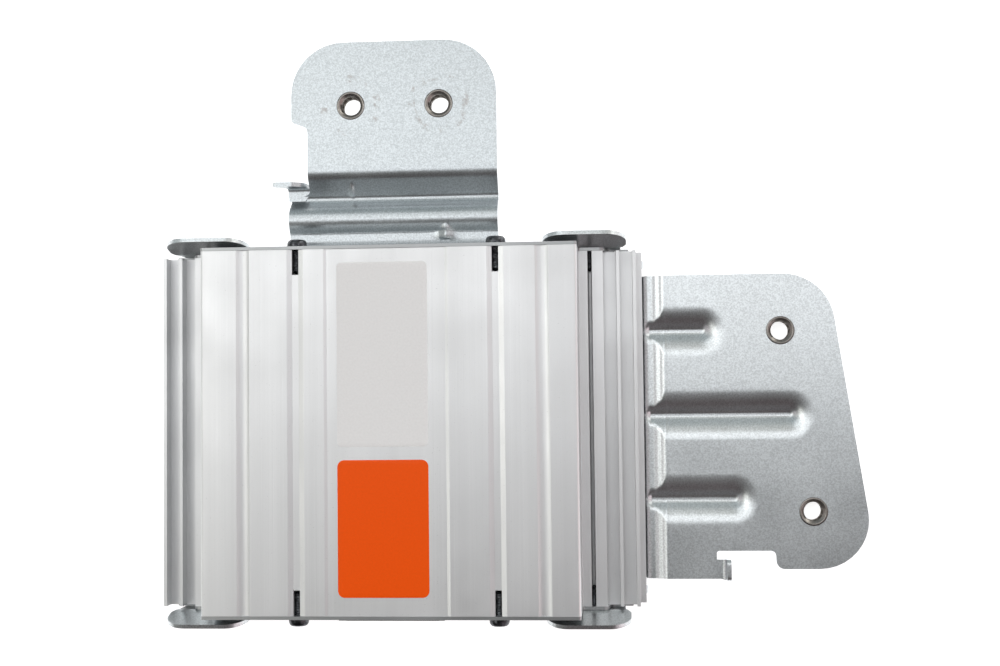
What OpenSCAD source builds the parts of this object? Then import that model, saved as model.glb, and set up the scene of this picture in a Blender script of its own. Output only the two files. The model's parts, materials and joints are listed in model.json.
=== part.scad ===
// Vehicle power inverter module: a finned aluminium extrusion with two end plates, carried by
// two bent steel stampings. Millimetres, +Z up. The origin is on the cradle's underside,
// below the middle of the extrusion. X runs across the fins and Y along them.

/* [Housing] */
// Length of the extrusion along its fins
housing_l = 130; // [110:1:200]
// Height of the extrusion
housing_h = 38; // [36:0.5:60]
// Width of the raised tunnel that holds the board
tunnel_w = 135; // [132:1:200]
// Thickness of the tunnel's side walls
wall_t = 2.5; // [2:0.1:4]
// Thickness of the tunnel's roof
roof_t = 3.2; // [2.8:0.1:5]
// Thickness of the extrusion's base
base_t = 4; // [3:0.1:6]
// Distance by which the roof's middle panel lies below its sides
panel_drop = 0.4; // [0.2:0.1:0.8]
// Width of the slope at each side of the sunken panel
panel_slope = 1.1; // [0.5:0.1:2]
// Left edge of the middle panel
panel_left = -22.8; // [-27:0.1:-20]
// Right edge of the middle panel
panel_right = 21.8; // [19:0.1:30]

/* [Fins] */
// Number of cooling fins on each side
fin_count = 3; // [3:1:6]
// Distance from the tunnel wall to the middle of the first fin
first_fin_gap = 8.4; // [8:0.1:12]
// Distance from one fin to the next
fin_pitch = 6; // [4:0.1:9]
// Thickness of a fin
fin_t = 1.3; // [1:0.1:2]
// Height of the fin tips above the extrusion's underside
fin_h = 14; // [13:0.5:24]
// Depth of the gap between two fins
fin_gap_d = 5; // [4:0.5:9]
// Width of the base ledge beyond the last fin
ledge_w = 3; // [2:0.1:8]

/* [Roof grooves] */
// Middle of the left groove
groove_left = -52; // [-56:0.1:-46]
// Middle of the right groove
groove_right = 55; // [49:0.1:58]
// Radius of a groove's round bottom
groove_r = 5; // [3.5:0.1:8]
// Depth of a groove
groove_d = 0.6; // [0.4:0.1:1.2]

/* [End screws] */
// Middle of the left screw channel
channel_left = -33; // [-38:0.1:-32]
// Middle of the right screw channel
channel_right = 38.6; // [36:0.1:42]
// Diameter of the thread-forming screws
screw_d = 3.5; // [3:0.1:4.2]
// Diameter of a screw's pan head
screw_head_d = 7.2; // [6:0.1:8]
// Height of a screw's pan head
screw_head_h = 2.6; // [2:0.1:3]
// Length of a screw under its head
screw_l = 10; // [8:0.5:20]
// Depth of the upper screws' axis below the roof
channel_depth = 4.2; // [4:0.1:5]
// Height of the lower screws' axis above the extrusion's underside
port_z = 9.6; // [9:0.1:10]
// Width of the slot that opens a screw hole
slot_w = 2.3; // [1:0.1:2.6]

/* [End plates] */
// Thickness of an end plate
plate_t = 1.2; // [0.8:0.1:2]
// Distance by which an end plate stops short of the base's edge
plate_inset = 4.8; // [3:0.1:8]

/* [Cradle] */
// Thickness of the cradle's steel sheet
cradle_t = 1.5; // [1:0.1:2]
// Width of a corner ear
ear_w = 30.5; // [26:0.5:36]
// Height of an ear's rim above the cradle's underside
ear_h = 28.5; // [22:0.5:34]
// Height at which an ear starts to flare
ear_flare_z = 15; // [13:0.5:18]
// Distance by which an ear's rim stands out from its foot
ear_flare = 3.4; // [1:0.1:5]
// Radius of an ear's upper corners
ear_corner_r = 8; // [3:0.5:9]
// Width of the side arm, along Y
arm_w = 112; // [100:1:120]
// Reach of the side arm beyond the extrusion
arm_reach = 82; // [76:1:120]
// Height of the side arm's underside
arm_z = 6.5; // [6:0.1:12]
// Slant of the side arm's outer edge from Y, in degrees
arm_slant = 9; // [0:0.5:12]
// Radius of the side arm's outer corners
arm_corner_r = 19; // [8:0.5:24]
// Height of the step between the cradle's rim and the side arm
joggle_h = 1.6; // [1:0.1:2.5]
// Length of that step
joggle_l = 5; // [4:0.5:8]
// Width of a pressed bead
bead_w = 18.4; // [16:0.2:20]
// Depth of a pressed bead
bead_d = 3.2; // [2:0.1:3.4]

/* [Top bracket] */
// Thickness of the top bracket's steel sheet
bracket_t = 1.6; // [1:0.1:2.5]
// Width of the top bracket
bracket_w = 77; // [74:0.5:82]
// Reach of the top bracket beyond the end plate
bracket_reach = 76.8; // [70:0.5:110]
// Height of the bracket pad's underside
pad_z = 22.4; // [18:0.2:28]
// Radius of the bracket pad's outer corners
pad_corner_r = 19.5; // [8:0.5:24]
// Length of the bracket's flange on the end plate
flange_h = 15; // [13:0.5:18]

/* [Nuts] */
// Radius of the tapped hole, as drilled for M8
nut_bore_r = 3.4; // [2.5:0.05:3.6]
// Radius of a nut's collar in the sheet
nut_collar_r = 5.2; // [4.9:0.05:6]
// Radius of a nut's body behind the sheet
nut_body_r = 6.35; // [6.2:0.05:8]
// Height of a nut's body behind the sheet
nut_body_h = 5.4; // [3:0.1:5.8]

/* [Board] */
// Thickness of the circuit board
board_t = 1.6; // [1:0.1:2.4]
// Height of the board above the extrusion's floor
board_lift = 5.5; // [4:0.1:6]
// Diameter of the large capacitor
bulk_cap_d = 16; // [12:0.5:17]
// Length of the large capacitor
bulk_cap_l = 31; // [20:1:36]
// Diameter of a small capacitor
small_cap_d = 10; // [8:0.5:12]
// Height of a small capacitor
small_cap_h = 16; // [10:0.5:17]

/* [Connector] */
// Width of the connector header's shell
header_w = 34; // [30:0.5:41]
// Height of the connector header's shell
header_h = 16; // [14:0.5:17]
// Length of the header's shell behind the end plate
header_l = 17; // [14:0.5:24]
// Thickness of the header's walls
header_wall = 1.6; // [1.2:0.1:2]
// Number of terminals
terminal_count = 6; // [3:1:7]

/* [Stickers] */
// Width of the two stickers
sticker_w = 32.5; // [24:0.5:36]
// Length of the light sticker
white_sticker_l = 65.6; // [40:0.5:70]
// Length of the orange sticker
orange_sticker_l = 48.4; // [30:0.5:52]

/* [Hidden] */
$fn = 48;

ALUMINIUM = [0.86, 0.87, 0.88];
ZINC = [0.74, 0.77, 0.79];
BLACK_STEEL = [0.1, 0.1, 0.11];
eps = 0.01;                     // overrun of a cut past the face that it opens
far = 400;                      // a length beyond the whole object
arc_steps = 8;                  // straight pieces in a rounded corner
fit = 0.2;                      // clearance between pieces that slide together
press = 0.03;                   // clearance around a pressed or screwed piece

base_w = tunnel_w + 2 * (first_fin_gap + (fin_count - 1) * fin_pitch + ledge_w);
half_l = housing_l / 2;
half_w = base_w / 2;
half_tunnel = tunnel_w / 2;
floor_z = cradle_t + base_t;
roof_z = cradle_t + housing_h;
ceiling_z = roof_z - roof_t;
tip_z = cradle_t + fin_h;
gap_floor_z = tip_z - fin_gap_d;
last_fin_x = half_tunnel + first_fin_gap + (fin_count - 1) * fin_pitch;
channel_z = roof_z - channel_depth;
channel_r = screw_d / 2 + press;
channel_wall = 1.7;
recess_w = 6;
recess_d = 0.6;
port_x = half_tunnel + 4.1;
port_axis_z = cradle_t + port_z;
port_floor_z = port_axis_z - channel_r - channel_wall;
rail_d = 4;                     // depth of the inner rails that the transistors are clamped to
rail_z = [floor_z + 12, floor_z + 25];
plate_y = half_l + plate_t;     // outer face of an end plate
channel_end_y = plate_y - screw_l - fit;
ear_y = plate_y + cradle_t;     // outer face of an ear's foot
ear_x = port_x - 1.8;           // middle of an ear
bend_r = 1.5;
ear_bend_r = plate_t;           // so that the bend clears the extrusion's end

board_z = floor_z + board_lift;
top_z = board_z + board_t;
slot_d = 1.2;
board_half_w = half_tunnel - wall_t + slot_d - fit;
rivet_r = 2;
rivet_tail_h = 1.4;             // height of a rivet's set head inside the end plate
board_end_gap = rivet_tail_h + fit;

header_x = -0.5;
header_proud = 2;
flange_over = 2.2;

arm_start = half_w + 1;
arm_end = half_w + arm_reach;
arm_top = arm_z + cradle_t;
rim_x = half_w + fit / 2 + cradle_t;    // outer face of the rim beside the extrusion
rim_z = arm_z - joggle_h;
joggle_x = arm_start + 2;
joggle_top = joggle_x + joggle_l;
tray_left = -half_w + 5;
tray_right = half_w - 2;
tray_y = plate_y - 4;
// Each bead is [middle along Y, end along X measured from the arm's start].
beads = [[35.3, 30], [4.1, 61.7], [-26.9, 41]];
arm_nuts = [[arm_start + 49.4, 35], [arm_start + 60.2, -31.6]];

pad_y = plate_y + bracket_reach;
bracket_nut_y = plate_y + 53.2;
bracket_nut_x = [-15.3, 17.3];
rivet_x = [-20, 0, 20];
rivet_z = pad_z - 9;

function unit(v) = v / norm(v);
function left_of(v) = [-v[1], v[0]];

// The points of an arc of radius r that rounds the corner b between a and c.
function corner(a, b, c, r) =
    r <= 0 ? [b] :
    let (u = unit(a - b), v = unit(c - b), half = acos(u * v) / 2,
        mid = b + unit(u + v) * r / sin(half),
        p = b + u * r / tan(half) - mid, q = b + v * r / tan(half) - mid,
        from = atan2(p[1], p[0]), turn = (atan2(q[1], q[0]) - from + 540) % 360 - 180)
    [for (i = [0:arc_steps]) mid + r * [cos(from + turn * i / arc_steps),
        sin(from + turn * i / arc_steps)]];

function xy(p) = [p[0], p[1]];

// A closed outline: each point is [x, y, corner radius].
function rounded(pts) = let (n = len(pts)) [for (i = [0:n - 1])
    each corner(xy(pts[(i + n - 1) % n]), xy(pts[i]), xy(pts[(i + 1) % n]), pts[i][2])];

// One side of a bent sheet. side is 0 for the path itself and t for the side on its left.
function strip_side(pts, t, side) = let (n = len(pts), p = [for (q = pts) xy(q)],
    d = [for (i = [0:n - 2]) unit(p[i + 1] - p[i])],
    moved = [for (i = [0:n - 1]) i == 0 ? p[0] + side * left_of(d[0])
        : i == n - 1 ? p[i] + side * left_of(d[n - 2])
        : p[i] + side * (left_of(d[i - 1]) + left_of(d[i])) / (1 + d[i - 1] * d[i])])
    [for (i = [0:n - 1]) each i == 0 || i == n - 1 ? [moved[i]]
        : corner(moved[i - 1], moved[i], moved[i + 1],
            pts[i][2] + ((cross(d[i - 1], d[i]) > 0) == (side == 0) ? t : 0))];

// The section of a sheet of thickness t, bent along a path of [x, y, inner bend radius].
module sheet_section(pts, t) {
    near = strip_side(pts, t, 0);
    away = strip_side(pts, t, t);
    polygon(concat(near, [for (i = [len(away) - 1:-1:0]) away[i]]));
}

// Stands a section drawn in (Y, Z) up and runs it along X.
module along_x(from, to) {
    translate([from, 0, 0]) rotate([90, 0, 90]) linear_extrude(to - from) children();
}

// Stands a section drawn in (X, Z) up and runs it along Y.
module along_y(from, to) {
    translate([0, to, 0]) rotate([90, 0, 0]) linear_extrude(to - from) children();
}

module box(low, high) {
    translate(low) cube(high - low);
}

module both_sides() {
    children();
    mirror([1, 0, 0]) children();
}

// A cylinder whose axis runs along Y.
module rod_y(x, z, r, from, to) {
    translate([x, to, z]) rotate([90, 0, 0]) cylinder(r = r, h = to - from);
}

module rect(low, high) {
    translate(low) square(high - low);
}

// ---- Housing ----

module tunnel_outline() {
    polygon(rounded([[-half_tunnel, cradle_t, 0], [half_tunnel, cradle_t, 0],
        [half_tunnel, roof_z, 1.2], [-half_tunnel, roof_z, 1.2]]));
}

module cavity_outline() {
    difference() {
        rect([-half_tunnel + wall_t, floor_z], [half_tunnel - wall_t, ceiling_z]);
        both_sides() rect([half_tunnel - wall_t - rail_d, rail_z[0]],
            [half_tunnel, rail_z[1]]);
        for (x = [channel_left, channel_right])
            translate([x, channel_z]) circle(r = channel_r + channel_wall);
    }
}

module channel_recess(x) {
    polygon([[x - slot_w / 2, roof_z - recess_d], [x + slot_w / 2, roof_z - recess_d],
        [x + recess_w / 2, roof_z + eps], [x - recess_w / 2, roof_z + eps]]);
}

module fin_side() {
    for (i = [0:fin_count - 1])
        translate([half_tunnel + first_fin_gap + i * fin_pitch - fin_t / 2, cradle_t])
            square([fin_t, fin_h]);
    rect([half_tunnel - 1, cradle_t], [last_fin_x, gap_floor_z]);
    rect([half_tunnel - 1, port_floor_z], [half_tunnel + first_fin_gap, tip_z]);
}

module housing_section() {
    difference() {
        union() {
            rect([-half_w, cradle_t], [half_w, floor_z]);
            tunnel_outline();
            both_sides() fin_side();
        }
        cavity_outline();
        both_sides() {
            translate([port_x, port_axis_z]) circle(r = channel_r);
            rect([port_x - slot_w / 3, port_axis_z], [port_x + slot_w / 3, tip_z + eps]);
            rect([half_tunnel - wall_t - eps, board_z - fit],
                [half_tunnel - wall_t + slot_d, top_z + fit]);
        }
        mirror([1, 0]) rect([half_tunnel - wall_t - eps, board_z - fit],
            [half_tunnel - wall_t + slot_d, top_z + fit]);
        for (x = [channel_left, channel_right]) channel_recess(x);
        for (x = [groove_left, groove_right])
            translate([x, roof_z - groove_d + groove_r]) circle(r = groove_r);
        polygon([[panel_left, roof_z + eps], [panel_left + panel_slope, roof_z - panel_drop],
            [panel_right - panel_slope, roof_z - panel_drop], [panel_right, roof_z + eps]]);
    }
}

// Each upper screw's hole runs in from the end, and a slot opens it to the roof.
module channel_holes() {
    for (x = [channel_left, channel_right], s = [0, 1]) mirror([0, s, 0]) {
        rod_y(x, channel_z, channel_r, channel_end_y, half_l + 1);
        box([x - slot_w / 2, channel_end_y, channel_z],
            [x + slot_w / 2, half_l + 1, roof_z + eps]);
    }
}

module housing() {
    color(ALUMINIUM) difference() {
        along_y(-half_l, half_l) housing_section();
        channel_holes();
        both_sides() clamp_screw_holes();
    }
}

// ---- End plates ----

module plate_outline() {
    edge = half_w - plate_inset;
    low = cradle_t + ear_bend_r;
    shoulder = half_tunnel + first_fin_gap + 1;
    polygon(rounded([[-edge, low, 0], [edge, low, 0], [edge, floor_z, 0.5],
        [shoulder + 1.5, floor_z, 1.5], [shoulder, tip_z, 2.5], [half_tunnel, tip_z, 0.8],
        [half_tunnel, roof_z, 1], [-half_tunnel, roof_z, 1], [-half_tunnel, tip_z, 0.8],
        [-shoulder, tip_z, 2.5], [-shoulder - 1.5, floor_z, 1.5], [-edge, floor_z, 0.5]]));
}

module plate_body() {
    difference() {
        along_y(half_l, plate_y) plate_outline();
        for (x = [channel_left, channel_right])
            rod_y(x, channel_z, channel_r, half_l - 1, plate_y + 1);
        for (x = [-port_x, port_x])
            rod_y(x, port_axis_z, channel_r, half_l - 1, plate_y + 1);
    }
}

module rear_end_plate() {
    color(ALUMINIUM) difference() {
        plate_body();
        for (x = rivet_x) rod_y(x, rivet_z, rivet_r + press, half_l - 1, plate_y + 1);
    }
}

module connector_end_plate() {
    color(ALUMINIUM) difference() {
        mirror([0, 1, 0]) plate_body();
        box([header_x - header_w / 2 - fit, -plate_y - 1, top_z - fit],
            [header_x + header_w / 2 + fit, -half_l + 1, top_z + header_h + fit]);
    }
}

// ---- Fasteners ----

// A pan-head screw along -Y from a seat at the origin, with its head on the +Y side.
module end_screw() {
    rotate([90, 0, 0]) {
        cylinder(d = screw_d, h = screw_l - 1);
        translate([0, 0, screw_l - 1]) cylinder(d1 = screw_d, d2 = screw_d / 2, h = 1);
    }
    rotate([-90, 0, 0]) difference() {
        rotate_extrude() intersection() {
            polygon(rounded([[0, 0, 0], [screw_head_d / 2, 0, 0],
                [screw_head_d / 2, screw_head_h, screw_head_h * 0.55], [0, screw_head_h, 0]]));
            square([screw_head_d, screw_head_h]);
        }
        translate([0, 0, screw_head_h - 1.4]) cylinder(d = 2.6, h = 2, $fn = 6);
    }
}

module upper_end_screws() {
    color(BLACK_STEEL) for (x = [channel_left, channel_right], s = [0, 1])
        mirror([0, s, 0]) translate([x, plate_y, channel_z]) end_screw();
}

module lower_end_screws() {
    color(BLACK_STEEL) for (x = [-port_x, port_x], s = [0, 1])
        mirror([0, s, 0]) translate([x, ear_y, port_axis_z]) end_screw();
}

// A self-clinching nut with its collar flush with a sheet's top at the origin.
module clinch_nut(sheet_t) {
    chamfer = 1;
    rotate_extrude() polygon([[nut_bore_r, -sheet_t - nut_body_h + 0.5],
        [nut_bore_r + 0.5, -sheet_t - nut_body_h], [nut_body_r - 0.5, -sheet_t - nut_body_h],
        [nut_body_r, -sheet_t - nut_body_h + 0.5], [nut_body_r, -sheet_t],
        [nut_collar_r, -sheet_t], [nut_collar_r, 0], [nut_bore_r + chamfer, 0],
        [nut_bore_r, -chamfer]]);
}

module side_arm_nuts() {
    color(ZINC) for (p = arm_nuts) translate([p[0], p[1], arm_top])
        clinch_nut(cradle_t);
}

module bracket_nuts() {
    color(ZINC) for (x = bracket_nut_x) translate([x, bracket_nut_y, pad_z + bracket_t])
        clinch_nut(bracket_t);
}

module bracket_rivets() {
    head_h = 1.1;
    color(ALUMINIUM) for (x = rivet_x) {
        rod_y(x, rivet_z, rivet_r, half_l - rivet_tail_h, plate_y + bracket_t + head_h);
        rod_y(x, rivet_z, 2 * rivet_r, plate_y + bracket_t, plate_y + bracket_t + head_h);
        rod_y(x, rivet_z, 1.5 * rivet_r, half_l - rivet_tail_h, half_l);
    }
}

// ---- Base cradle ----

// The ear's outline, seen along Y: a narrow root that widens to a rounded lobe.
module ear_outline() {
    left = ear_x - ear_w / 2;
    right = ear_x + ear_w / 2;
    root_z = ear_flare_z - 2;
    flank_z = ear_flare_z + 2;
    polygon(rounded([[left + 4, -1, 0], [right - 2, -1, 0], [right - 2, root_z, 3],
        [right, flank_z, 3], [right, ear_h, ear_corner_r], [left, ear_h, ear_corner_r],
        [left, flank_z, 2.5], [left + 4, root_z, 2.5]]));
}

module ear() {
    difference() {
        intersection() {
            along_x(ear_x - ear_w / 2, ear_x + ear_w / 2)
                sheet_section([[plate_y - 12, 0, 0], [ear_y, 0, ear_bend_r],
                    [ear_y, ear_flare_z, 6], [ear_y + ear_flare, ear_h, 0]], cradle_t);
            along_y(half_l - 12, ear_y + ear_flare + 2) ear_outline();
        }
        rod_y(port_x, port_axis_z, channel_r, half_l, ear_y + 2);
    }
}

module bead_section() {
    flat = 1.2;
    h = bead_w / 2;
    sheet_section([[-h - 0.6, arm_z, 0], [-h + flat, arm_z, 2], [0, arm_z - bead_d, 0.8],
        [h - flat, arm_z, 2], [h + 0.6, arm_z, 0]], cradle_t);
}

// A bead from the cradle's rim, up the joggle with the sheet's top, to a round end.
module bead(y, end) {
    turn_x = arm_start + end - bead_w / 2;
    start = rim_x - cradle_t / 2;
    translate([0, y, 0]) {
        intersection() {
            along_x(start, turn_x) bead_section();
            along_y(-bead_w, bead_w) polygon([[start, 0], [start, rim_z + cradle_t],
                [joggle_x, rim_z + cradle_t], [joggle_top, arm_top], [far, arm_top + eps],
                [far, 0]]);
        }
        translate([turn_x, 0, 0]) rotate([0, 0, -90]) rotate_extrude(angle = 180)
            intersection() {
                bead_section();
                translate([0, -far / 2]) square([far, far]);
            }
    }
}

// The hole in the flat sheet where a bead goes, narrower below the joggle.
module bead_hole(y, end) {
    turn_x = arm_start + end - bead_w / 2;
    middle_x = (joggle_x + joggle_top) / 2;
    narrow = bead_w / 2 * (1 - joggle_h / bead_d);
    box([rim_x, y - narrow, rim_z - 1], [middle_x, y + narrow, arm_top + 1]);
    box([middle_x, y - bead_w / 2, rim_z - 1], [turn_x, y + bead_w / 2, arm_top + 1]);
    translate([turn_x, y, rim_z - 1]) cylinder(d = bead_w, h = joggle_h + cradle_t + 2);
}

module arm_outline() {
    half = arm_w / 2;
    lean = tan(arm_slant);
    tip = -half * 0.62;
    slot_x = arm_start + 24.8;
    low = -half + 3.5;
    polygon(rounded([[tray_left, -half, 0], [slot_x, -half, 0], [slot_x, -half + 10.2, 1],
        [slot_x + 21.5, -half + 10.2, 2.5], [slot_x + 23.5, low, 1.2],
        [arm_end + (tip - low) * lean, low, arm_corner_r - 1],
        [arm_end - (half - tip) * lean, half, arm_corner_r], [tray_left, half, 0]]));
}

module arm_hook() {
    hook_x = arm_start + 29.7;
    edge = -arm_w / 2;
    along_y(edge - 0.4, edge + 7.4)
        sheet_section([[arm_start + 22, arm_z, 0], [hook_x, arm_z, bend_r],
            [hook_x, arm_z + 6.5, 0]], cradle_t);
}

module base_cradle() {
    color(ZINC) {
        difference() {
            intersection() {
                along_y(-arm_w / 2, arm_w / 2)
                    sheet_section([[tray_left, 0, 0], [rim_x, 0, 0], [rim_x, rim_z, 0.4],
                        [joggle_x, rim_z, 1], [joggle_top, arm_z, 1],
                        [arm_end + 20, arm_z, 0]], cradle_t);
                translate([0, 0, -1]) linear_extrude(arm_top + 2) arm_outline();
            }
            for (b = beads) bead_hole(b[0], b[1]);
            for (p = arm_nuts) translate([p[0], p[1], arm_z - 1])
                cylinder(r = nut_collar_r + press, h = cradle_t + 2);
        }
        for (b = beads) bead(b[0], b[1]);
        arm_hook();
        for (s = [0, 1]) mirror([0, s, 0]) {
            box([tray_left, arm_w / 2 - eps, 0], [tray_right, tray_y, cradle_t]);
            box([tray_right - 1, tray_y - 3, 0], [rim_x - cradle_t + 0.6, tray_y, cradle_t]);
            both_sides() ear();
        }
    }
}

// ---- Top bracket ----

module bracket_outline() {
    half = bracket_w / 2;
    neck = 7;
    neck_low = plate_y + 21.5;
    neck_high = plate_y + 46.5;
    polygon(rounded([[-half, plate_y, 0], [half, plate_y, 0], [half, pad_y, pad_corner_r],
        [-half + 1, pad_y, pad_corner_r], [-half + 1, neck_high + 1, 1.5],
        [-half + neck, neck_high - 1, 2.5], [-half + neck, neck_low + 1, 2],
        [-half, neck_low - 2, 1]]));
}

module bracket_hook() {
    half = bracket_w / 2;
    tab_y = plate_y + 23.8;
    valley_z = pad_z - 5;
    along_x(-half - 6, -half + 8)
        sheet_section([[tab_y - 5, valley_z, 0], [tab_y + bracket_t, valley_z, bend_r],
            [tab_y + bracket_t, valley_z + 7, 0]], bracket_t);
}

module top_bracket() {
    face = plate_y + bracket_t;
    seat_z = pad_z - 1.9;
    color(ZINC) {
        difference() {
            intersection() {
                along_x(-bracket_w / 2, bracket_w / 2)
                    sheet_section([[face, seat_z - flange_h, 0], [face, seat_z, bend_r],
                        [plate_y + 7.8, seat_z, 3], [plate_y + 11.3, seat_z + 3.9, 2.5],
                        [plate_y + 18.8, pad_z - 6, 3], [plate_y + 28.2, pad_z, 4],
                        [pad_y, pad_z, 0]], bracket_t);
                linear_extrude(far) bracket_outline();
            }
            for (x = bracket_nut_x) translate([x, bracket_nut_y, pad_z - 1])
                cylinder(r = nut_collar_r + press, h = bracket_t + 2);
            for (x = rivet_x) rod_y(x, rivet_z, rivet_r + press, plate_y - 1, face + 1);
        }
        bracket_hook();
    }
}

// ---- Stickers ----

module sticker(x, y, l, r) {
    translate([x, y, roof_z - panel_drop]) linear_extrude(0.15)
        polygon(rounded([[-sticker_w / 2, -l / 2, r], [sticker_w / 2, -l / 2, r],
            [sticker_w / 2, l / 2, r], [-sticker_w / 2, l / 2, r]]));
}

sticker_x = -1.9;
sticker_gap = 4.6;
sticker_low = -half_l + 6.5;

module orange_sticker() {
    color("orangered") sticker(sticker_x, sticker_low + orange_sticker_l / 2,
        orange_sticker_l, 2.5);
}

module white_sticker() {
    color("gainsboro") sticker(sticker_x, sticker_low + orange_sticker_l + sticker_gap
        + white_sticker_l / 2, white_sticker_l, 2);
}

// ---- Board and what stands on it ----

module circuit_board() {
    color("darkgreen") box([-board_half_w, -half_l + board_end_gap, board_z],
        [board_half_w, half_l - board_end_gap, top_z]);
}

core_at = [0, 18, top_z + 10.5];
core_size = [36, 32, 11];
leg_w = 9.6;
window_w = 6.4;
window_l = 24;
tube_wall = 1.2;

module transformer_core() {
    color("dimgray") translate(core_at) difference() {
        cube(core_size, center = true);
        for (s = [-1, 1]) translate([0, s * (leg_w + window_w) / 2, 0])
            cube([window_l, window_w, core_size[2] + 1], center = true);
    }
}

module transformer_bobbin() {
    inner = [leg_w + fit, core_size[2] + fit];
    flange = [leg_w + 2 * window_w - 1, 21];
    color("black") translate(core_at) difference() {
        union() {
            cube([window_l - fit, inner[0] + 2 * tube_wall, inner[1] + 2 * tube_wall],
                center = true);
            for (s = [-1, 1]) translate([s * (window_l - fit - 1.2) / 2, 0, 0])
                cube([1.2, flange[0], flange[1]], center = true);
        }
        cube([window_l + 1, inner[0], inner[1]], center = true);
    }
}

module transformer_winding() {
    inner = [leg_w + fit + 2 * tube_wall, core_size[2] + fit + 2 * tube_wall];
    color("goldenrod") translate(core_at) difference() {
        cube([window_l - fit - 2.4, leg_w + 2 * window_w - 2, 20], center = true);
        cube([window_l, inner[0], inner[1]], center = true);
    }
}

choke_hole_r = 6.5;
choke_size = [5, 7.6];
choke_wire = 1.6;

module choke_section(grow) {
    translate([choke_hole_r - grow, -choke_size[1] / 2 - grow])
        square([choke_size[0] + 2 * grow, choke_size[1] + 2 * grow]);
}

module choke_core() {
    color("dimgray") translate(choke_at) rotate_extrude() choke_section(0);
}

module choke_winding() {
    color("goldenrod") translate(choke_at) rotate_extrude() difference() {
        choke_section(choke_wire);
        choke_section(0);
    }
}

module can(d, h) {
    rotate_extrude() polygon(rounded([[0, 0, 0], [d / 2, 0, 0.6], [d / 2, h, 0.8], [0, h, 0]]));
}

module input_capacitors() {
    last_x = header_x - header_w / 2 - 1.5 - small_cap_d / 2;
    color("midnightblue") for (i = [0:2])
        translate([last_x - i * (small_cap_d + 2), -50, top_z]) can(small_cap_d, small_cap_h);
}

module high_voltage_capacitor() {
    color("midnightblue") translate([42, 8, top_z + bulk_cap_d / 2]) rotate([-90, 0, 0])
        can(bulk_cap_d, bulk_cap_l);
}

film_cap = [18, 8, 14];

module film_capacitors() {
    color("khaki") for (y = [-24, -12]) translate([33, y, top_z]) cube(film_cap);
}

transistor_w = 10.2;
transistor_pitch = 15;
transistor_t = 4.5;
pad_t = 0.4;
rail_face = half_tunnel - wall_t - rail_d;
transistor_y = [for (i = [0:3]) (i - 1.5) * transistor_pitch];
transistor_low = rail_z[0] - 3;
transistor_high = rail_z[1] - 1;
clamp_t = 1.5;
clamp_z = (rail_z[0] + rail_z[1]) / 2 + 1;
clamp_screw_y = [-transistor_pitch, transistor_pitch];
clamp_screw_r = 1.5;
clamp_screw_reach = 4.5;
clamp_head = [2.8, 2];          // radius and height
clamp_back = rail_face - pad_t - transistor_t - clamp_t;
choke_at = [-clamp_back + clamp_head[1] + 2 + choke_hole_r + choke_size[0] + choke_wire,
    -20, top_z + choke_size[1] / 2 + choke_wire + 1.1];

// A row of four power transistors on the right-hand rail, each with its three legs.
module transistor_row() {
    low = rail_face - pad_t - transistor_t;
    for (y = transistor_y) {
        box([low, y - transistor_w / 2, transistor_low], [rail_face - pad_t,
            y + transistor_w / 2, transistor_high]);
        for (dy = [-2.54, 0, 2.54])
            box([low + 1.8, y + dy - 0.4, top_z], [low + 2.3, y + dy + 0.4, transistor_low]);
    }
}

module input_transistors() {
    color("black") mirror([1, 0, 0]) transistor_row();
}

module bridge_transistors() {
    color("black") transistor_row();
}

module insulating_pads() {
    color("lightgray") both_sides() difference() {
        box([rail_face - pad_t, transistor_y[0] - 7, rail_z[0]],
            [rail_face, transistor_y[3] + 7, rail_z[1]]);
        clamp_screw_holes();
    }
}

module clamp_screw_holes() {
    for (y = clamp_screw_y) translate([rail_face - 12, y, clamp_z]) rotate([0, 90, 0])
        cylinder(r = clamp_screw_r + press, h = 12 + clamp_screw_reach);
}

module clamp_bars() {
    color(ZINC) both_sides() difference() {
        box([clamp_back, transistor_y[0] - 6, clamp_z - 4],
            [clamp_back + clamp_t, transistor_y[3] + 6, clamp_z + 4]);
        clamp_screw_holes();
    }
}

module clamp_screws() {
    color(BLACK_STEEL) both_sides() for (y = clamp_screw_y)
        translate([clamp_back, y, clamp_z]) rotate([0, 90, 0]) {
            cylinder(r = clamp_screw_r, h = rail_face - clamp_back + clamp_screw_reach - 0.5);
            translate([0, 0, -clamp_head[1]]) cylinder(r = clamp_head[0], h = clamp_head[1]);
        }
}

fuse_pitch = 10;                // between the fuse's two blades
fuse_body = [16, 4, 7];
fuse_base = [18, 8, 8];
fuse_at = [header_x + header_w / 2 + 3.5 + fuse_base[0] / 2, -50, top_z];
blade = [5.2, 0.8, 5.6];

module fuse_holder() {
    color("black") translate(fuse_at) difference() {
        translate([-fuse_base[0] / 2, -fuse_base[1] / 2, 0]) cube(fuse_base);
        for (s = [-1, 1]) translate([s * fuse_pitch / 2 - blade[0] / 2 - fit,
            -blade[1] / 2 - fit, fuse_base[2] - blade[2] - 2 * fit])
            cube([blade[0] + 2 * fit, blade[1] + 2 * fit, blade[2] + 1]);
    }
}

module blade_fuse() {
    color("gold") translate(fuse_at + [0, 0, fuse_base[2]]) {
        translate([-fuse_body[0] / 2, -fuse_body[1] / 2, 0]) cube(fuse_body);
        for (s = [-1, 1]) translate([s * fuse_pitch / 2 - blade[0] / 2, -blade[1] / 2, -blade[2]])
            cube(blade + [0, 0, eps]);
    }
}

chip = [7, 7, 1.3];
chip_lift = 0.3;
lead = [2, 0.5, 0.5];
lead_pitch = 1.27;

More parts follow.
